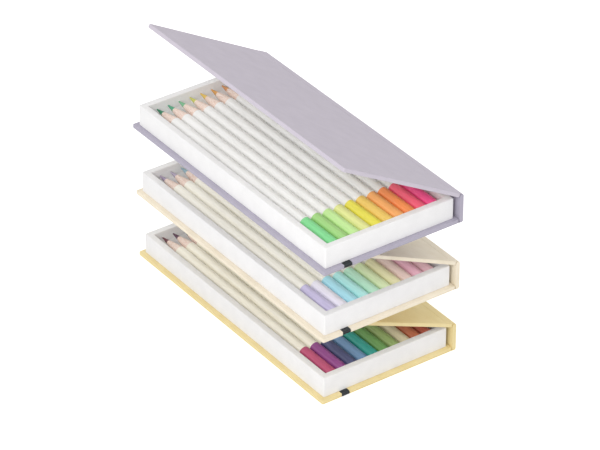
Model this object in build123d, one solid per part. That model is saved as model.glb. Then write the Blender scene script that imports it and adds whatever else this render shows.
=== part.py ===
"""A set of three book-style pencil boxes, one above another, with their covers ajar.

Each box is a shallow white tray glued to the base board of a hard paper case. A spine board
stands behind the tray and a cover board hangs on the spine's upper crease, so the case opens
like a book. A flat elastic, anchored under both ends of the tray, is parked round the base
board. Ten coloured pencils lie side by side in each tray.

Millimetres. +X runs along the pencils towards their dipped ends, +Y points to the spine and
+Z is up. The origin is the middle of the whole stack's outline from above, on the table. A
box's own shapes are drawn about the centre of its case's footprint.
"""
from build123d import *
from math import cos, radians, sin
import os

# Pencils
PENCIL_COUNT = 10              # in each tray
PENCIL_LENGTH = 176.0
PENCIL_DIAMETER = 7.3
PENCIL_GAP = 0.3               # between neighbours
ROW_GAP = 2.0                  # beside the whole row, along each long wall
PENCIL_END_GAP = 0.4           # at each end of a pencil
PENCIL_SEAT_GAP = 0.2          # between a pencil and the tray's floor
PENCIL_END_ROUND = 1.0         # rounding of the dipped end
DIP_CAP = 1.5                  # lacquer and wood past the lead's blind end
LEAD_DIAMETER = 3.0
POINT_LENGTH = 19.0            # sharpened cone, from the full barrel to the tip
POINT_BLUNT = 0.35             # radius left on the tip

# Tray
TRAY_WALL = 4.2
TRAY_FLOOR = 5.2               # built up, so that the pencils lie just below the rim
RIM_ABOVE_PENCILS = 0.6
TRAY_EDGE_ROUND = 0.4

# Case
BOARD = 2.4                    # thickness of the base, spine and cover boards
CASE_LIP = 2.8                 # how far the boards stand out past the tray
SPINE_GAP = 2.3                # air between the tray and the spine board
CREASE_GAP = 0.15              # air between a board's edge and a spine crease
CLOSED_GAP = 0.3               # between the rim and a closed cover
BOARD_CORNER = 1.0
BOARD_EDGE_ROUND = 0.4

# Elastic
ELASTIC_WIDTH = 5.5
ELASTIC_THICKNESS = 0.8
ELASTIC_FROM_CORNER = 13.5     # from the tray's long face to the middle of the elastic
ELASTIC_TUCK = 6.0             # length held under the tray at each end

# Stack
BOTTOM_COVER_ANGLE = 23.0      # degrees from closed
MIDDLE_COVER_ANGLE = 25.0
TOP_COVER_ANGLE = 30.0
STACK_GAP = 0.3                # between a raised cover and the box above it
MIDDLE_BOX_SHIFT = 18.0        # level distance from the bottom box, towards the viewer
TOP_BOX_SHIFT = 38.0
SHIFT_AZIMUTH = 55.0           # from straight out of the opening side, towards +X

# Worked out from the values above
RADIUS = PENCIL_DIAMETER / 2
PITCH = PENCIL_DIAMETER + PENCIL_GAP
BAY_LENGTH = PENCIL_LENGTH + 2 * PENCIL_END_GAP
BAY_WIDTH = PENCIL_COUNT * PITCH - PENCIL_GAP + 2 * ROW_GAP
TRAY_LENGTH = BAY_LENGTH + 2 * TRAY_WALL
TRAY_WIDTH = BAY_WIDTH + 2 * TRAY_WALL
WALL_HEIGHT = PENCIL_SEAT_GAP + PENCIL_DIAMETER + RIM_ABOVE_PENCILS
RIM_Z = BOARD + TRAY_FLOOR + WALL_HEIGHT
PENCIL_Z = BOARD + TRAY_FLOOR + PENCIL_SEAT_GAP + RADIUS
CASE_LENGTH = TRAY_LENGTH + 2 * CASE_LIP
CASE_WIDTH = CASE_LIP + TRAY_WIDTH + SPINE_GAP + BOARD
OPENING_Y = -CASE_WIDTH / 2                        # the boards' free long edge
TRAY_Y = OPENING_Y + CASE_LIP + TRAY_WIDTH / 2     # middle of the tray
CREASE_Y = CASE_WIDTH / 2 - BOARD / 2              # both creases, in the spine's mid plane
LOWER_CREASE_Z = BOARD / 2
UPPER_CREASE_Z = RIM_Z + CLOSED_GAP + BOARD / 2
CREASE_REACH = BOARD / 2 + CREASE_GAP              # from a crease to the board beside it
COVER_REACH = CREASE_Y - OPENING_Y                 # from the upper crease to the free edge
ELASTIC_Y = TRAY_Y - TRAY_WIDTH / 2 + ELASTIC_FROM_CORNER


def raised_edge(angle):
    """Height of a cover's free edge above its own base, for a cover opened by this angle."""
    return (UPPER_CREASE_Z + COVER_REACH * sin(radians(angle))
            + BOARD / 2 * cos(radians(angle)))


def box_place(shift, z):
    """Where a box stands: the three fan out towards the viewer, about the frame's origin."""
    level = shift - TOP_BOX_SHIFT / 2
    azimuth = radians(SHIFT_AZIMUTH)
    return Pos(level * sin(azimuth), -level * cos(azimuth), z)


MIDDLE_BOX_Z = raised_edge(BOTTOM_COVER_ANGLE) + STACK_GAP
TOP_BOX_Z = MIDDLE_BOX_Z + raised_edge(MIDDLE_COVER_ANGLE) + STACK_GAP


def slab(x0, x1, y0, y1, z0, z1):
    """A plain block between two corners."""
    size = (x1 - x0, y1 - y0, z1 - z0)
    return Pos((x0 + x1) / 2, (y0 + y1) / 2, (z0 + z1) / 2) * Box(*size)


def wrapped_board(y0, y1, z0):
    """A full-length board with the soft edges that a glued paper wrap gives it."""
    outline = Pos(0, (y0 + y1) / 2) * RectangleRounded(CASE_LENGTH, y1 - y0, BOARD_CORNER)
    board = Pos(0, 0, z0) * extrude(outline, BOARD)
    rims = board.edges().group_by(Axis.Z)
    return fillet(rims[0] + rims[-1], BOARD_EDGE_ROUND)


def elastic_strip(rounded):
    """The parked elastic: under the board, up its two ends and in under the tray."""
    out_x = CASE_LENGTH / 2
    in_x = out_x - ELASTIC_THICKNESS
    tuck_x = TRAY_LENGTH / 2 - ELASTIC_TUCK
    top = BOARD
    points = [
        (-out_x, 0), (out_x, 0), (out_x, top), (tuck_x, top),
        (tuck_x, top - ELASTIC_THICKNESS), (in_x, top - ELASTIC_THICKNESS),
        (in_x, ELASTIC_THICKNESS), (-in_x, ELASTIC_THICKNESS),
        (-in_x, top - ELASTIC_THICKNESS), (-tuck_x, top - ELASTIC_THICKNESS),
        (-tuck_x, top), (-out_x, top),
    ]
    face = Plane.XZ * make_face(Polyline(*points, close=True))
    strip = Pos(0, ELASTIC_Y + ELASTIC_WIDTH / 2, 0) * extrude(face, ELASTIC_WIDTH)
    if rounded:
        across = strip.edges().filter_by(Axis.Y).sort_by(Axis.X)
        strip = fillet(across[:2] + across[-2:], BOARD_EDGE_ROUND)
    return strip


def base_board():
    """The lower board, with the shallow seat that the parked elastic presses into it."""
    board = wrapped_board(OPENING_Y, CREASE_Y - CREASE_REACH, 0)
    return board - elastic_strip(rounded=False)


def spine_board():
    """The narrow board behind the tray. Both long edges are rolled round their creases."""
    reach = UPPER_CREASE_Z - LOWER_CREASE_Z
    outline = Pos(CREASE_Y, LOWER_CREASE_Z + reach / 2) * SlotCenterToCenter(reach, BOARD, rotation=90)
    return extrude(Plane.YZ * outline, CASE_LENGTH / 2, both=True)


def cover_board(angle):
    """The upper board, hung on the upper crease and opened by this angle."""
    board = wrapped_board(OPENING_Y, CREASE_Y - CREASE_REACH, UPPER_CREASE_Z - BOARD / 2)
    crease = Axis((0, CREASE_Y, UPPER_CREASE_Z), (-1, 0, 0))
    return board.rotate(crease, angle)


def tray_floor():
    """The tray's bottom board, glued to the base board."""
    half_x, half_y = TRAY_LENGTH / 2, TRAY_WIDTH / 2
    floor = slab(-half_x, half_x, TRAY_Y - half_y, TRAY_Y + half_y, BOARD, BOARD + TRAY_FLOOR)
    return fillet(floor.edges().filter_by(Axis.Z), TRAY_EDGE_ROUND)


def tray_wall(side_x, side_y):
    """One wall of the tray: the long walls run past the ends of the short ones."""
    z0 = BOARD + TRAY_FLOOR
    if side_y:
        x0, x1 = -TRAY_LENGTH / 2, TRAY_LENGTH / 2
        faces = sorted([TRAY_Y + side_y * BAY_WIDTH / 2, TRAY_Y + side_y * TRAY_WIDTH / 2])
        wall = slab(x0, x1, faces[0], faces[1], z0, RIM_Z)
        corners = wall.edges().filter_by(Axis.Z).sort_by(Axis.Y)
        outer = corners[-2:] if side_y > 0 else corners[:2]
        return fillet(outer, TRAY_EDGE_ROUND)
    faces = sorted([side_x * BAY_LENGTH / 2, side_x * TRAY_LENGTH / 2])
    return slab(faces[0], faces[1], TRAY_Y - BAY_WIDTH / 2, TRAY_Y + BAY_WIDTH / 2, z0, RIM_Z)


def pencil(index):
    """A round pencil, as two solids: the wooden barrel and the lead that runs through it."""
    end = PENCIL_LENGTH / 2
    tip = -PENCIL_LENGTH / 2
    shoulder = tip + POINT_LENGTH
    slope = (RADIUS - POINT_BLUNT) / POINT_LENGTH
    lead_radius = LEAD_DIAMETER / 2
    lead_start = tip + (lead_radius - POINT_BLUNT) / slope
    blind = end - DIP_CAP

    wood = [
        Line((end, 0), (end, RADIUS - PENCIL_END_ROUND)),
        RadiusArc((end, RADIUS - PENCIL_END_ROUND), (end - PENCIL_END_ROUND, RADIUS), -PENCIL_END_ROUND),
        Polyline((end - PENCIL_END_ROUND, RADIUS), (shoulder, RADIUS), (lead_start, lead_radius),
                 (blind, lead_radius), (blind, 0), (end, 0)),
    ]
    lead = Polyline((blind, 0), (blind, lead_radius), (lead_start, lead_radius),
                    (tip, POINT_BLUNT), (tip, 0), close=True)
    barrel = revolve(make_face(wood), Axis.X)
    core = revolve(make_face(lead), Axis.X)
    across = TRAY_Y - BAY_WIDTH / 2 + ROW_GAP + RADIUS + index * PITCH
    place = Pos(0, across, PENCIL_Z)
    return [place * barrel, place * core]


def box_nodes(box, place, angle):
    """Every sub-part of one box, by name, in its place and with its cover ajar."""
    nodes = {
        "base_board": [base_board()],
        "spine_board": [spine_board()],
        "cover_board": [cover_board(angle)],
        "elastic_band": [elastic_strip(rounded=True)],
        "tray_floor": [tray_floor()],
        "tray_opening_wall": [tray_wall(0, -1)],
        "tray_spine_wall": [tray_wall(0, 1)],
        "tray_tip_wall": [tray_wall(-1, 0)],
        "tray_dip_wall": [tray_wall(1, 0)],
    }
    for index in range(PENCIL_COUNT):
        nodes[f"pencil_{index + 1:02d}"] = pencil(index)
    return {f"{box}_{name}": [place * shape for shape in shapes] for name, shapes in nodes.items()}


os.makedirs("parts", exist_ok=True)
assembly = {
    **box_nodes("bottom", box_place(0, 0), BOTTOM_COVER_ANGLE),
    **box_nodes("middle", box_place(MIDDLE_BOX_SHIFT, MIDDLE_BOX_Z), MIDDLE_COVER_ANGLE),
    **box_nodes("top", box_place(TOP_BOX_SHIFT, TOP_BOX_Z), TOP_COVER_ANGLE),
}
for node, shapes in assembly.items():
    solids = [solid for shape in shapes for solid in shape.solids()]
    export_step(solids[0] if len(solids) == 1 else Compound(solids), f"parts/{node}.step")
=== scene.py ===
"""Three book-style pencil boxes, one above another, each with its cover ajar over ten pencils.

Metres. +X runs along the pencils towards their dipped ends, +Y points to the spines and +Z is up.
"""

from math import cos, hypot, pi, radians, sin

import bmesh
import bpy
from mathutils import Matrix, Vector


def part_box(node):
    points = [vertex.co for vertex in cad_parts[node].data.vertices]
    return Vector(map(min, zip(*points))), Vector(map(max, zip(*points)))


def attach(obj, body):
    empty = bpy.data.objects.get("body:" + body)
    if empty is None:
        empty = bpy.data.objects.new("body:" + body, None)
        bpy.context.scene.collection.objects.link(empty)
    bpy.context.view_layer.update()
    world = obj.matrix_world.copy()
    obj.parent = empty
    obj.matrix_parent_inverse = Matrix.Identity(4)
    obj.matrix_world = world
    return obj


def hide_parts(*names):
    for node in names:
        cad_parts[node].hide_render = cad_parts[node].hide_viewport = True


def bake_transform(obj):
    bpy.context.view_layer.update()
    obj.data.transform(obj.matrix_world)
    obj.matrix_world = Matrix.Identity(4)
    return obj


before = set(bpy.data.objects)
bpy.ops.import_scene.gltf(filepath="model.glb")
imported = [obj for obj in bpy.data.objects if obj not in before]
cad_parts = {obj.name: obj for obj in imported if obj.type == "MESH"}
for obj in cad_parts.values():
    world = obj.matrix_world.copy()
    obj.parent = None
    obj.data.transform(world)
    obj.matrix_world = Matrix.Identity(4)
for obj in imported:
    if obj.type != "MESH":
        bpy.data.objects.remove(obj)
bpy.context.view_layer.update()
bpy.context.scene.view_settings.view_transform = "Standard"


# --- Camera ---------------------------------------------------------------------------------
# A long lens from the opening side, beyond the dipped ends and well above. The angles, the
# scale and the target's place in the frame come from fitting the trays' corners.

def outward(azimuth, elevation):
    """The direction so many degrees round from the opening side to the dips, and degrees up."""
    a, e = radians(azimuth), radians(elevation)
    return Vector((sin(a) * cos(e), -cos(a) * cos(e), sin(e)))


def aim_camera(target, azimuth, elevation, distance, pixels_per_metre, target_pixel):
    """A camera with the target at a pixel of the frame, and no shift."""
    frame_width, frame_height = 600, 450
    back = outward(azimuth, elevation)
    right = Vector((cos(radians(azimuth)), sin(radians(azimuth)), 0))
    up = back.cross(right)
    across = (target_pixel[0] - frame_width / 2) / pixels_per_metre
    down = (target_pixel[1] - frame_height / 2) / pixels_per_metre
    camera = bpy.data.objects.new("camera", bpy.data.cameras.new("camera"))
    bpy.context.scene.collection.objects.link(camera)
    turn = Matrix((right, up, back)).transposed().to_4x4()
    camera.matrix_world = Matrix.Translation(target + back * distance - right * across + up * down) @ turn
    camera.data.lens = pixels_per_metre * distance / frame_width * camera.data.sensor_width
    camera.data.clip_end = 20
    bpy.context.scene.camera = camera


aim_camera(Vector((-0.00082, 0.00057, 0.06349)), azimuth=54.59, elevation=33.17, distance=2.2,
           pixels_per_metre=1719, target_pixel=(294.4, 228.4))


# --- Table and light ------------------------------------------------------------------------
# A plain white table in a bright white room. One soft lamp stands close to the camera's side,
# so that its light reaches into the trays.

def linear(hex_value):
    """An sRGB hex colour as linear RGBA."""
    parts = [int(hex_value[i:i + 2], 16) / 255 for i in (1, 3, 5)]
    return [c / 12.92 if c <= 0.04045 else ((c + 0.055) / 1.055) ** 2.4 for c in parts] + [1.0]


def add(tree, kind, inputs=None, ramp=(), **settings):
    """Adds a node with its settings and colour stops, and gives its inputs values or links."""
    node = tree.nodes.new(kind)
    for name, value in settings.items():
        setattr(node, name, value)
    for index, (position, colour) in enumerate(ramp):
        stop = node.color_ramp.elements[index]
        stop.position, stop.color = position, linear(colour)
    for name, value in (inputs or {}).items():
        socket = node.inputs[name]
        if isinstance(value, bpy.types.NodeSocket):
            tree.links.new(value, socket)
        else:
            socket.default_value = value
    return node


def empty_material(name):
    """A material with no nodes yet, and its node tree."""
    material = bpy.data.materials.new(name)
    material.use_nodes = True
    material.node_tree.nodes.clear()
    return material, material.node_tree


def white_table(camera_glow=0.5):
    """Matte white laminate, lifted for camera rays until it meets the white room."""
    material, tree = empty_material("table_white_laminate")
    matte = add(tree, "ShaderNodeBsdfDiffuse", {"Color": linear("#F6F6F6")})
    seen = add(tree, "ShaderNodeLightPath").outputs["Is Camera Ray"]
    level = add(tree, "ShaderNodeMath", {0: seen, 1: camera_glow}, operation="MULTIPLY").outputs[0]
    glow = add(tree, "ShaderNodeEmission", {"Color": (1, 1, 1, 1), "Strength": level})
    both = add(tree, "ShaderNodeAddShader", {0: matte.outputs[0], 1: glow.outputs[0]})
    add(tree, "ShaderNodeOutputMaterial", {"Surface": both.outputs[0]})
    return material


table_mesh = bpy.data.meshes.new("table")
table_half = 4.0
table_mesh.from_pydata([(-table_half, -table_half, 0), (table_half, -table_half, 0),
                        (table_half, table_half, 0), (-table_half, table_half, 0)], [], [(0, 1, 2, 3)])
table_mesh.materials.append(white_table())
table = bpy.data.objects.new("table", table_mesh)
bpy.context.scene.collection.objects.link(table)

room_light, room_seen = 0.8, 1.0
world = bpy.data.worlds.new("white_room")
world.use_nodes = True
room_tree = world.node_tree
room_tree.nodes.clear()
bpy.context.scene.world = world
rays = add(room_tree, "ShaderNodeLightPath").outputs
seen = rays["Is Camera Ray"]
for ray in ("Is Glossy Ray", "Is Transmission Ray"):
    seen = add(room_tree, "ShaderNodeMath", {0: seen, 1: rays[ray]}, operation="MAXIMUM").outputs[0]
level = add(room_tree, "ShaderNodeMapRange", {"Value": seen, "To Min": room_light, "To Max": room_seen})
room = add(room_tree, "ShaderNodeBackground", {"Color": (1, 1, 1, 1), "Strength": level.outputs["Result"]})
add(room_tree, "ShaderNodeOutputWorld", {"Surface": room.outputs[0]})


def soft_lamp(name, azimuth, elevation, distance, size, watts):
    """A square lamp that faces the middle of the stack."""
    lamp = bpy.data.objects.new(name, bpy.data.lights.new(name, "AREA"))
    lamp.data.shape = "SQUARE"
    lamp.data.size = size
    lamp.data.energy = watts
    back = outward(azimuth, elevation)
    bpy.context.scene.collection.objects.link(lamp)
    stack_middle = Vector((0, 0, 0.08))
    facing = back.to_track_quat("Z", "Y").to_matrix().to_4x4()
    lamp.matrix_world = Matrix.Translation(stack_middle + back * distance) @ facing


soft_lamp("key_softbox", azimuth=36, elevation=37, distance=2.0, size=0.8, watts=14)


# --- Case boards ----------------------------------------------------------------------------
# Base, spine and cover boards of 2.4 mm greyboard, glued into a sheet of tinted paper that is
# turned in over every edge. The boards' own solids are shown, in the paper's finish.

def wrapping_paper(name, tint, shade, grain=0.35):
    """Uncoated cover paper: a felt-marked, matte sheet whose fibres mottle its tint slightly.

    The mottling is 8 mm wide and the felt marks are as wide as the grain, in millimetres.
    """
    material, tree = empty_material(name)
    where = add(tree, "ShaderNodeTexCoord").outputs["Object"]
    in_mm = add(tree, "ShaderNodeMapping", {"Vector": where, "Scale": (1000, 1000, 1000)}).outputs[0]
    cloud = add(tree, "ShaderNodeTexNoise", {"Vector": in_mm, "Scale": 0.12, "Detail": 4.0}).outputs["Fac"]
    felt = add(tree, "ShaderNodeTexNoise", {
        "Vector": in_mm, "Scale": 1 / grain, "Detail": 6.0, "Roughness": 0.65}).outputs["Fac"]
    mottle = add(tree, "ShaderNodeMath", {0: cloud, 1: felt}, operation="MULTIPLY").outputs[0]
    tone = add(tree, "ShaderNodeValToRGB", {"Fac": mottle}, ramp=((0.10, shade), (0.42, tint)))
    bump = add(tree, "ShaderNodeBump", {"Height": felt, "Strength": 0.25, "Distance": 0.00006})
    rough = add(tree, "ShaderNodeMapRange", {"Value": felt, "To Min": 0.62, "To Max": 0.78})
    paper = add(tree, "ShaderNodeBsdfPrincipled", {
        "Base Color": tone.outputs["Color"], "Roughness": rough.outputs["Result"], "IOR": 1.45,
        "Specular IOR Level": 0.3, "Normal": bump.outputs["Normal"]})
    add(tree, "ShaderNodeOutputMaterial", {"Surface": paper.outputs[0]})
    return material


case_paper = {
    "top": wrapping_paper("lavender_cover_paper", "#CEC7D2", "#C6BFCA"),
    "middle": wrapping_paper("cream_cover_paper", "#F6ECD8", "#EDE1C9"),
    "bottom": wrapping_paper("yellow_cover_paper", "#F1E0AC", "#E8D49A"),
}
# the lavender base and spine take a darker, bluer copy of the cover's paper: painted shade on what is one
# paper throughout
lower_paper_with_painted_shade = {**case_paper, "top": wrapping_paper("lavender_base_paper_painted_shade", "#B5B0BF", "#ADA8B7")}
boxes = ("bottom", "middle", "top")
for box in boxes:
    for board, paper in (("base", lower_paper_with_painted_shade), ("spine", lower_paper_with_painted_shade), ("cover", case_paper)):
        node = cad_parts[f"{box}_{board}_board"]
        node.data.materials.clear()
        node.data.materials.append(paper[box])


# --- Creases and cover linings --------------------------------------------------------------
# One strip of the case's paper bends round each edge of the spine, standing a paper's thickness
# proud of the boards; the upper one is shaped to the cover's fixed angle. A lining sheet hides the turned-in
# edges inside.

def mesh_object(name, vertices, faces, material, sharp_angle=50):
    """A mesh with its faces outwards, smooth but for edges over the sharp angle."""
    mesh = bpy.data.meshes.new(name)
    mesh.from_pydata(vertices, [], faces)
    shape = bmesh.new()
    shape.from_mesh(mesh)
    bmesh.ops.recalc_face_normals(shape, faces=shape.faces)
    shape.to_mesh(mesh)
    shape.free()
    mesh.materials.append(material)
    mesh.polygons.foreach_set("use_smooth", [True] * len(mesh.polygons))
    mesh.set_sharp_from_angle(angle=radians(sharp_angle))
    piece = bpy.data.objects.new(name, mesh)
    bpy.context.scene.collection.objects.link(piece)
    return piece


def skinned(name, rings, material):
    """Joins rings of equally many points into a closed skin, with a face over each end."""
    count = len(rings[0])
    vertices = [point for ring in rings for point in ring]
    last = len(vertices) - count
    faces = [tuple(range(count)), tuple(range(last, len(vertices)))]
    for start in range(0, last, count):
        for i in range(count):
            j = (i + 1) % count
            faces.append((start + i, start + j, start + count + j, start + count + i))
    return mesh_object(name, vertices, faces, material)


def swept(name, path, profile, place, material):
    """Sweeps a closed profile of (across, out) along a path of (u, v), out being to its right."""
    rings = []
    for index, (u, v) in enumerate(path):
        before, after = path[max(index - 1, 0)], path[min(index + 1, len(path) - 1)]
        du, dv = after[0] - before[0], after[1] - before[1]
        length = hypot(du, dv)
        rings.append([place(across, u + dv / length * out, v - du / length * out)
                      for across, out in profile])
    return skinned(name, rings, material)


def sheet(half_length, thickness):
    """The cross-section of a thin strip whose outer face is on the path."""
    return [(-half_length, 0), (half_length, 0), (half_length, -thickness), (-half_length, -thickness)]


endpaper = wrapping_paper("white_endpaper", "#F4F3F2", "#ECEBE9", grain=0.5)
paper_thickness, paper_lift = 0.00012, 0.00001
crease_near, crease_reach = 0.003, 0.006         # stations on the flat, away from a bend
crease_inset, lining_inset = 0.0002, 0.003       # short of the boards' ends
cover_angle = {"bottom": 23, "middle": 25, "top": 30}
upper_steps, lower_steps = 12, 10
flat_share = 0.463                               # radians of the lower bend lost to the flat underside
under_reaches = (0.0016, 0.0006, 0.0)            # stations under the base board, in from the crease
for box in boxes:
    base_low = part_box(f"{box}_base_board")[0]
    spine_low, spine_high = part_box(f"{box}_spine_board")
    middle_x = (spine_low.x + spine_high.x) / 2
    half_length = (spine_high.x - spine_low.x) / 2 - crease_inset
    half_board = (spine_high.y - spine_low.y) / 2
    crease_y = spine_low.y + half_board
    upper_z, lower_z = spine_high.z - half_board, spine_low.z + half_board
    skin = half_board + paper_lift + paper_thickness
    strip = sheet(half_length, paper_thickness)

    def place(across, y, z):
        return (middle_x + across, y, z)

    # upper crease: up the spine's outer face, round the bend and along the cover
    lean = radians(90 - cover_angle[box])
    bend = [(crease_y + skin * cos(lean * step / upper_steps),
             upper_z + skin * sin(lean * step / upper_steps)) for step in range(upper_steps + 1)]
    run = [(bend[-1][0] - sin(lean) * reach, bend[-1][1] + cos(lean) * reach)
           for reach in (crease_near, crease_reach)]
    rise = [(crease_y + skin, upper_z - crease_reach), (crease_y + skin, upper_z - crease_near)]
    upper = swept(f"{box}_upper_crease", rise + bend + run, strip, place, case_paper[box])
    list(bend[0])
    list(bend[-1])
    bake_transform(upper)

    # lower crease: flush under the base's edge, round the bend and up the spine
    ground = spine_low.z + paper_lift
    turn = pi / 2 - flat_share
    bend = [(crease_y + skin * cos(turn * (step / lower_steps - 1)),
             max(lower_z + skin * sin(turn * (step / lower_steps - 1)), ground))
            for step in range(lower_steps + 1)]
    under = [(crease_y - reach, ground) for reach in under_reaches]
    rise = [(crease_y + skin, lower_z + crease_near), (crease_y + skin, lower_z + crease_reach)]
    # the top box's lower crease takes the darker lavender copy of the paper, which is painted shade
    lower = swept(f"{box}_lower_crease", under + bend + rise, strip, place, lower_paper_with_painted_shade[box])
    if box == "top":
        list(under[-1])
        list(bend[-1])
        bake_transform(lower)
    else:
        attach(lower, f"{box}_box")

    # lining: on the cover's inner face, short of its three free edges
    cover_reach = crease_y - base_low.y
    ends = [(crease_y - sin(lean) * d - cos(lean) * skin, upper_z + cos(lean) * d - sin(lean) * skin)
            for d in (cover_reach - lining_inset, lining_inset)]
    lining = swept(f"{box}_cover_lining", ends, sheet(half_length - lining_inset, paper_thickness), place,
                   endpaper)
    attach(lining, f"{box}_cover")


# --- Elastics -------------------------------------------------------------------------------
# A flat ribbed elastic, tucked in under both ends of the tray, stands a little proud where it
# comes over the lip and round the board's edge, and lies flush underneath.

def woven_elastic():
    """Charcoal knitted elastic: matte yarn in fine rows across the band, with painted shade between the
    rows.

    The rows are 0.65 mm apart and the fuzz is 0.25 mm, coarser than the real yarn, so they show.
    """
    material, tree = empty_material("charcoal_woven_elastic")
    where = add(tree, "ShaderNodeTexCoord").outputs["Object"]
    rows = [add(tree, "ShaderNodeTexWave", {"Vector": where, "Scale": 480.0, "Distortion": 0.4},
                wave_type="BANDS", bands_direction=axis).outputs["Fac"] for axis in ("X", "Z")]
    yarn = add(tree, "ShaderNodeMath", {0: rows[0], 1: rows[1]}, operation="MULTIPLY").outputs[0]
    fuzz = add(tree, "ShaderNodeTexNoise", {"Vector": where, "Scale": 4000.0, "Detail": 3.0}).outputs["Fac"]
    height = add(tree, "ShaderNodeMath", {0: fuzz, 1: 0.4, 2: yarn}, operation="MULTIPLY_ADD").outputs[0]
    bump = add(tree, "ShaderNodeBump", {"Height": height, "Strength": 0.5, "Distance": 0.0001})
    # the colour follows the height: the fuzz gives the yarn its own uneven tone, and the darker colour down
    # between the rows is painted shade
    tone = add(tree, "ShaderNodeValToRGB", {"Fac": height}, ramp=((0.1, "#2C3032"), (1.0, "#46494C")))
    band = add(tree, "ShaderNodeBsdfPrincipled", {
        "Base Color": tone.outputs["Color"], "Roughness": 0.85, "IOR": 1.45, "Specular IOR Level": 0.3,
        "Normal": bump.outputs["Normal"]})
    add(tree, "ShaderNodeOutputMaterial", {"Surface": band.outputs[0]})
    return material


band_half_width, band_half_thickness = 0.00265, 0.0004
ribs, points_per_rib, rib_depth = 8, 4, 0.00008
# the band's middle line: heights above the board's underside, and ways in from the band's end
tucked_z, lip_z, edge_z = 0.00195, 0.00206, 0.0012
tuck_in, lip_start_in, lip_end_in = 0.0088, 0.0032, 0.0024
over_radius, over_in = 0.00095, 0.001            # the bend over the board's edge
under_radius, under_in = 0.0008, 0.00085         # the bend under it
bend_steps = 7
elastic_cloth = woven_elastic()
for box in boxes:
    low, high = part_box(f"{box}_elastic_band")
    middle_x, middle_y, end_x = (low.x + high.x) / 2, (low.y + high.y) / 2, (high.x - low.x) / 2
    half = [(end_x - tuck_in, low.z + tucked_z), (end_x - lip_start_in, low.z + tucked_z),
            (end_x - lip_end_in, low.z + lip_z)]
    for step in range(bend_steps):
        angle = pi / 2 * step / bend_steps
        half.append((end_x - over_in + over_radius * sin(angle),
                     low.z + edge_z + over_radius * cos(angle)))
    for step in range(bend_steps + 1):
        angle = pi / 2 * step / bend_steps
        half.append((end_x - under_in + under_radius * cos(angle),
                     low.z + edge_z - under_radius * sin(angle)))
    loop = [(-u, v) for u, v in half] + half[::-1]
    points = points_per_rib * ribs
    across = [band_half_width * (2 * s / points - 1) for s in range(points + 1)]
    face = [(y, band_half_thickness - rib_depth * (1 - abs(sin(pi * s / points_per_rib))))
            for s, y in enumerate(across)]
    band = swept(f"{box}_ribbed_elastic", loop, face + [(y, -out) for y, out in reversed(face)],
                 lambda y, u, v: (middle_x + u, middle_y + y, v), elastic_cloth)
    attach(band, f"{box}_box")
    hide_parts(f"{box}_elastic_band")


# --- Trays ----------------------------------------------------------------------------------
# A shallow greyboard tray, wrapped inside and out in white paper. One sheet runs over the rims,
# so the edges are softly rounded and the corners are folded and closed.

def rounded_outline(centre, half_x, half_y, radius, steps=5):
    """Points round a rectangle with rounded corners, anticlockwise from above."""
    points = []
    for turn, (sx, sy) in enumerate(((1, 1), (-1, 1), (-1, -1), (1, -1))):
        for step in range(steps + 1):
            angle = pi / 2 * (turn + step / steps)
            points.append((centre[0] + sx * (half_x - radius) + radius * cos(angle),
                           centre[1] + sy * (half_y - radius) + radius * sin(angle)))
    return points


def wrapped_tray(box, material):
    """The tray's outline, stepped along its section from underneath, over the rim, to the floor."""
    floor_low, floor_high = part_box(f"{box}_tray_floor")
    wall_low, wall_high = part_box(f"{box}_tray_tip_wall")
    wall = wall_high.x - wall_low.x
    centre = ((floor_low.x + floor_high.x) / 2, (floor_low.y + floor_high.y) / 2)
    half_x, half_y = (floor_high.x - floor_low.x) / 2, (floor_high.y - floor_low.y) / 2
    rim, bottom, inside = wall_high.z, floor_low.z, floor_high.z
    rim_round, corner, inner_corner = 0.00055, 0.0008, 0.0004
    foot_in, foot_up, floor_bevel, rim_steps = 0.0004, 0.0002, 0.0003, 5
    # each step: height, distance in from the outer face, corner radius
    section = [(bottom, foot_in, corner), (bottom + foot_up, 0, corner)]
    for step in range(rim_steps + 1):
        angle = pi / 2 * step / rim_steps
        section.append((rim - rim_round + rim_round * sin(angle), rim_round - rim_round * cos(angle),
                        corner))
    for step in range(rim_steps + 1):
        angle = pi / 2 * step / rim_steps
        section.append((rim - rim_round + rim_round * cos(angle), wall - rim_round + rim_round * sin(angle),
                        inner_corner))
    section += [(inside + floor_bevel, wall, inner_corner), (inside, wall + floor_bevel, inner_corner)]
    rings = [[(x, y, z) for x, y in rounded_outline(centre, half_x - inset, half_y - inset, radius)]
             for z, inset, radius in section]
    return skinned(f"{box}_wrapped_tray", rings, material)


tray_paper = wrapping_paper("white_tray_paper", "#F4F3F3", "#ECEBEB", grain=0.5)
for box in boxes:
    tray = wrapped_tray(box, tray_paper)
    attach(tray, f"{box}_box")
    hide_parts(*[f"{box}_tray_{part}" for part in
                        ("floor", "opening_wall", "spine_wall", "tip_wall", "dip_wall")])


# --- Pencils --------------------------------------------------------------------------------
# Round pencils, turned from soft pinkish wood round a pigment lead, lacquered white or cream,
# sharpened at one end and dipped in their own colour at the other.

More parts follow.
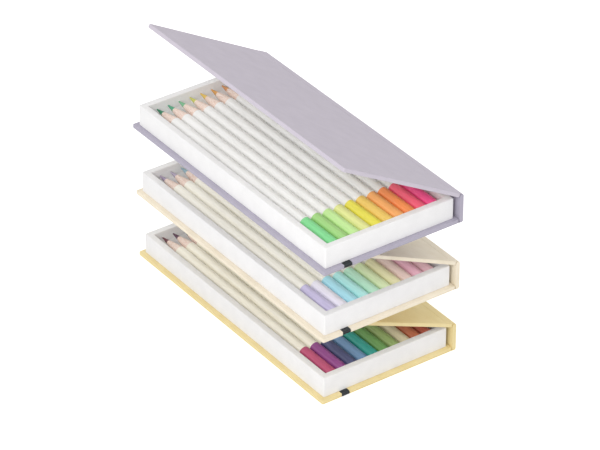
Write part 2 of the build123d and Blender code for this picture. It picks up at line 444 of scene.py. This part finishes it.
def pencil_tree():
    """Turns a line of stations along X into a pencil: radius from the station, then finishes."""
    tree = bpy.data.node_groups.new("pencil_from_its_sizes", "GeometryNodeTree")
    side = tree.interface
    size_names = ("Tip", "Length", "Diameter", "Point length", "Tip radius", "Lead diameter", "Dip length",
                  "Dip coat", "End rounding")
    side.new_socket("Geometry", in_out="INPUT", socket_type="NodeSocketGeometry")
    for name in size_names:
        side.new_socket(name, in_out="INPUT", socket_type="NodeSocketFloat")
    for name in ("Lacquer", "Dip", "Wood", "Lead"):
        side.new_socket(name, in_out="INPUT", socket_type="NodeSocketMaterial")
    side.new_socket("Geometry", in_out="OUTPUT", socket_type="NodeSocketGeometry")
    sizes = add(tree, "NodeGroupInput").outputs
    value = {name: sizes[name] for name in size_names}
    for name, kind in (("x", "GeometryNodeInputPosition"), ("facing", "GeometryNodeInputNormal")):
        vector = add(tree, kind).outputs[0]
        value[name] = add(tree, "ShaderNodeSeparateXYZ", {0: vector}).outputs["X"]

    # each row: the value that it gives, the operation, and its operands
    rows = (
        ("along", "SUBTRACT", "x", "Tip"),
        ("radius", "MULTIPLY", "Diameter", 0.5),
        # the sharpened cone
        ("flare", "SUBTRACT", "radius", "Tip radius"),
        ("slope", "DIVIDE", "flare", "Point length"),
        ("cone", "MULTIPLY_ADD", "along", "slope", "Tip radius"),
        # the dip coat stands proud of the barrel, with a rounded meniscus 0.5 mm long
        ("dip start", "SUBTRACT", "Length", "Dip length"),
        ("past dip start", "SUBTRACT", "along", "dip start"),
        ("uncoated", "SMOOTHERSTEP", "past dip start", -0.0001, 0.0004, "Dip coat", 0.0),
        ("barrel", "SUBTRACT", "radius", "uncoated"),
        ("body", "MINIMUM", "cone", "barrel"),
        # the dipped end is rounded off by a quarter circle
        ("round start", "SUBTRACT", "Length", "End rounding"),
        ("past round start", "SUBTRACT", "along", "round start"),
        ("past", "MAXIMUM", "past round start", 0.0),
        ("past squared", "MULTIPLY", "past", "past"),
        ("rounding squared", "MULTIPLY", "End rounding", "End rounding"),
        ("left", "SUBTRACT", "rounding squared", "past squared"),
        ("left over zero", "MAXIMUM", "left", 0.0),
        ("height", "POWER", "left over zero", 0.5),
        ("drop", "SUBTRACT", "End rounding", "height"),
        ("turned", "SUBTRACT", "body", "drop"),
        # where each finish applies
        ("lead radius", "MULTIPLY", "Lead diameter", 0.5),
        ("lead flare", "SUBTRACT", "lead radius", "Tip radius"),
        ("lead length", "DIVIDE", "lead flare", "slope"),
        ("in wood", "LESS_THAN", "along", "Point length"),
        ("in lead", "LESS_THAN", "along", "lead length"),
        ("in dip", "GREATER_THAN", "along", "dip start"),
        # all but the two flat ends are shaded smooth
        ("end facing", "ABSOLUTE", "facing"),
        ("round face", "LESS_THAN", "end facing", 0.97),
    )
    for name, operation, *operands in rows:
        inputs = {index: value.get(operand, operand) for index, operand in enumerate(operands)}
        if operation == "SMOOTHERSTEP":
            node = add(tree, "ShaderNodeMapRange", inputs, interpolation_type=operation)
        else:
            node = add(tree, "ShaderNodeMath", inputs, operation=operation)
        value[name] = node.outputs[0]

    line = add(tree, "GeometryNodeMeshToCurve", {"Mesh": sizes["Geometry"]})
    sized = add(tree, "GeometryNodeSetCurveRadius", {"Curve": line.outputs[0], "Radius": value["turned"]})
    circle = add(tree, "GeometryNodeCurvePrimitiveCircle", {"Resolution": 40, "Radius": 1.0})
    solid = add(tree, "GeometryNodeCurveToMesh", {
        "Curve": sized.outputs[0], "Profile Curve": circle.outputs[0], "Scale": value["turned"],
        "Fill Caps": True})
    whole = add(tree, "GeometryNodeRealizeInstances", {"Geometry": solid.outputs[0]})
    finished = add(tree, "GeometryNodeSetShadeSmooth", {
        "Geometry": whole.outputs[0], "Shade Smooth": value["round face"]})
    for chosen, material in ((True, "Lacquer"), (value["in wood"], "Wood"), (value["in lead"], "Lead"),
                             (value["in dip"], "Dip")):
        finished = add(tree, "GeometryNodeSetMaterial", {
            "Geometry": finished.outputs[0], "Selection": chosen, "Material": sizes[material]})
    add(tree, "NodeGroupOutput", {"Geometry": finished.outputs[0]})
    return tree


def apply_tree(name, vertices, tree, values):
    """Runs a tree over a line of points and keeps the result as a plain mesh."""
    line = bpy.data.meshes.new(name)
    line.from_pydata(vertices, [(i, i + 1) for i in range(len(vertices) - 1)], [])
    maker = bpy.data.objects.new(name + "_line", line)
    bpy.context.scene.collection.objects.link(maker)
    modifier = maker.modifiers.new("shape", "NODES")
    modifier.node_group = tree
    for socket in tree.interface.items_tree:
        if socket.in_out == "INPUT" and socket.name in values:
            modifier[socket.identifier] = values[socket.name]
    maker.update_tag()
    done = maker.evaluated_get(bpy.context.evaluated_depsgraph_get())
    mesh = bpy.data.meshes.new_from_object(done)
    mesh.name = name
    bpy.data.objects.remove(maker)
    piece = bpy.data.objects.new(name, mesh)
    bpy.context.scene.collection.objects.link(piece)
    return piece


def lacquer(name, tint, shade, gloss, coat=0.4):
    """Brushed-on or dipped lacquer: even colour, a thin clear gloss and a slight ripple.

    The ripple is drawn out to 17 mm along the pencil, and is 1.1 mm wide across it.
    """
    material, tree = empty_material(name)
    where = add(tree, "ShaderNodeTexCoord").outputs["Object"]
    drawn = add(tree, "ShaderNodeMapping", {"Vector": where, "Scale": (60, 900, 900)}).outputs[0]
    ripple = add(tree, "ShaderNodeTexNoise", {"Vector": drawn, "Scale": 1.0, "Detail": 3.0}).outputs["Fac"]
    bump = add(tree, "ShaderNodeBump", {"Height": ripple, "Strength": 0.15, "Distance": 0.00005})
    tone = add(tree, "ShaderNodeValToRGB", {"Fac": ripple}, ramp=((0.3, shade), (0.6, tint)))
    paint = add(tree, "ShaderNodeBsdfPrincipled", {
        "Base Color": tone.outputs["Color"], "Roughness": gloss, "IOR": 1.5, "Coat Weight": coat,
        "Coat Roughness": 0.12, "Normal": bump.outputs["Normal"]})
    add(tree, "ShaderNodeOutputMaterial", {"Surface": paint.outputs[0]})
    return material


def darker(hex_value, share):
    """The same hex colour with every channel scaled down."""
    return "#" + "".join(f"{round(int(hex_value[i:i + 2], 16) * share):02X}" for i in (1, 3, 5))


def pencil_wood():
    """Sharpened basswood: pinkish beige, with fine long grain and the sharpener's rings.

    The grain is 8 mm long and 0.4 mm wide, and the rings are 0.22 mm apart.
    """
    material, tree = empty_material("sharpened_basswood")
    where = add(tree, "ShaderNodeTexCoord").outputs["Object"]
    fibres = add(tree, "ShaderNodeMapping", {"Vector": where, "Scale": (120, 2600, 2600)}).outputs[0]
    grain = add(tree, "ShaderNodeTexNoise", {"Vector": fibres, "Scale": 1.0, "Detail": 4.0}).outputs["Fac"]
    rings = add(tree, "ShaderNodeTexWave", {"Vector": where, "Scale": 1400.0, "Distortion": 0.6},
                wave_type="BANDS", bands_direction="X").outputs["Fac"]
    bump = add(tree, "ShaderNodeBump", {"Height": rings, "Strength": 0.3, "Distance": 0.00004})
    tone = add(tree, "ShaderNodeValToRGB", {"Fac": grain}, ramp=((0.30, "#E3C3B2"), (0.60, "#F8E7DC")))
    wood = add(tree, "ShaderNodeBsdfPrincipled", {
        "Base Color": tone.outputs["Color"], "Roughness": 0.7, "IOR": 1.45, "Specular IOR Level": 0.25,
        "Normal": bump.outputs["Normal"]})
    add(tree, "ShaderNodeOutputMaterial", {"Surface": wood.outputs[0]})
    return material


def pigment_lead(name, tint):
    """Wax-bound pigment: matte, streaked by the sharpener at about 0.4 mm."""
    material, tree = empty_material(name)
    where = add(tree, "ShaderNodeTexCoord").outputs["Object"]
    streak = add(tree, "ShaderNodeTexNoise", {
        "Vector": where, "Scale": 2500.0, "Detail": 2.0}).outputs["Fac"]
    bump = add(tree, "ShaderNodeBump", {"Height": streak, "Strength": 0.3, "Distance": 0.00005})
    tone = add(tree, "ShaderNodeValToRGB", {"Fac": streak}, ramp=((0.3, darker(tint, 0.88)), (0.7, tint)))
    wax = add(tree, "ShaderNodeBsdfPrincipled", {
        "Base Color": tone.outputs["Color"], "Roughness": 0.55, "IOR": 1.45,
        "Normal": bump.outputs["Normal"]})
    add(tree, "ShaderNodeOutputMaterial", {"Surface": wax.outputs[0]})
    return material


pencil_length, pencil_diameter, lead_diameter = 0.176, 0.0073, 0.003
point_length, tip_radius = 0.019, 0.00035
dip_length, dip_coat, end_rounding = 0.0285, 0.00006, 0.001
barrel_paint = {
    "top": lacquer("white_barrel_lacquer", "#F4F3F1", "#ECEBE8", 0.34),
    "middle": lacquer("ivory_barrel_lacquer", "#FDFAEF", "#F7F3E5", 0.38),
    "bottom": lacquer("cream_barrel_lacquer", "#FCF8EA", "#F5EFDD", 0.38),
}
# the dip of each pencil from the opening side to the spine, and its lead
pencil_colours = {
    "top": [
        ("#85E096", "#3F8F6B"), ("#A4D882", "#5DB58D"), ("#C9F19F", "#86C99B"), ("#E9EC9A", "#D9DA6E"),
        ("#F2E854", "#EFC964"), ("#F9D36C", "#E6A85C"), ("#FEB46A", "#E3A068"), ("#FE9A58", "#E8965F"),
        ("#FE6886", "#E0637A"), ("#FE5A9C", "#DC5A8C")],
    "middle": [
        ("#D3CAEC", "#B3A2BF"), ("#F5F1FC", "#BDB2C8"), ("#B4EEFB", "#A6C6D2"), ("#BFFAF5", "#A6CFCE"),
        ("#CBFBDD", "#AACFB8"), ("#ECFCC8", "#C6D2AC"), ("#FEF7C6", "#DCD4A0"), ("#FFE2DA", "#DDB4AC"),
        ("#FFC6D9", "#DCA8B8"), ("#FED2DA", "#CDAAAF")],
    "bottom": [
        ("#C4527A", "#7A4C54"), ("#974A90", "#6A485F"), ("#4D527A", "#484A60"), ("#749BC2", "#566E88"),
        ("#36AB9C", "#3A6E6A"), ("#78AE62", "#5C7C53"), ("#A6C076", "#7E8856"), ("#EADDB8", "#A2986E"),
        ("#D07A56", "#785240"), ("#C5654E", "#68473D")],
}
turning = pencil_tree()
wood = pencil_wood()
lead_stop = (lead_diameter / 2 - tip_radius) / ((pencil_diameter / 2 - tip_radius) / point_length)
dip_edge = pencil_length - dip_length
# stations along a pencil: the tip and lead, the shoulder, the barrel, the cone, the dip, the end
point_steps, end_steps = 12, 6
stations = [0, 0.0003, 0.0012, lead_stop, point_length + 0.0002, 0.05, 0.088, 0.125]
stations += [point_length * step / point_steps for step in range(2, point_steps + 1)]
stations += [dip_edge + offset for offset in (-0.0003, -0.0001, 0, 0.0001, 0.0002, 0.0003, 0.0004, 0.0008)]
stations += [pencil_length - end_rounding + end_rounding * sin(pi / 2 * step / end_steps)
             for step in range(end_steps + 1)]
stations.sort()
for box in boxes:
    for index, (dip, lead) in enumerate(pencil_colours[box]):
        node = f"{box}_pencil_{index + 1:02d}"
        low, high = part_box(node)
        line = [(low.x + along, (low.y + high.y) / 2, (low.z + high.z) / 2) for along in stations]
        pencil = apply_tree(f"{box}_coloured_pencil_{index + 1:02d}", line, turning, {
            "Tip": low.x, "Length": pencil_length, "Diameter": pencil_diameter, "Point length": point_length,
            "Tip radius": tip_radius, "Lead diameter": lead_diameter, "Dip length": dip_length,
            "Dip coat": dip_coat, "End rounding": end_rounding, "Lacquer": barrel_paint[box],
            "Dip": lacquer(f"{box}_dip_lacquer_{index + 1:02d}", dip, darker(dip, 0.95), 0.36, coat=0.3),
            "Wood": wood, "Lead": pigment_lead(f"{box}_lead_{index + 1:02d}", lead)})
        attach(pencil, node)
        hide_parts(node)
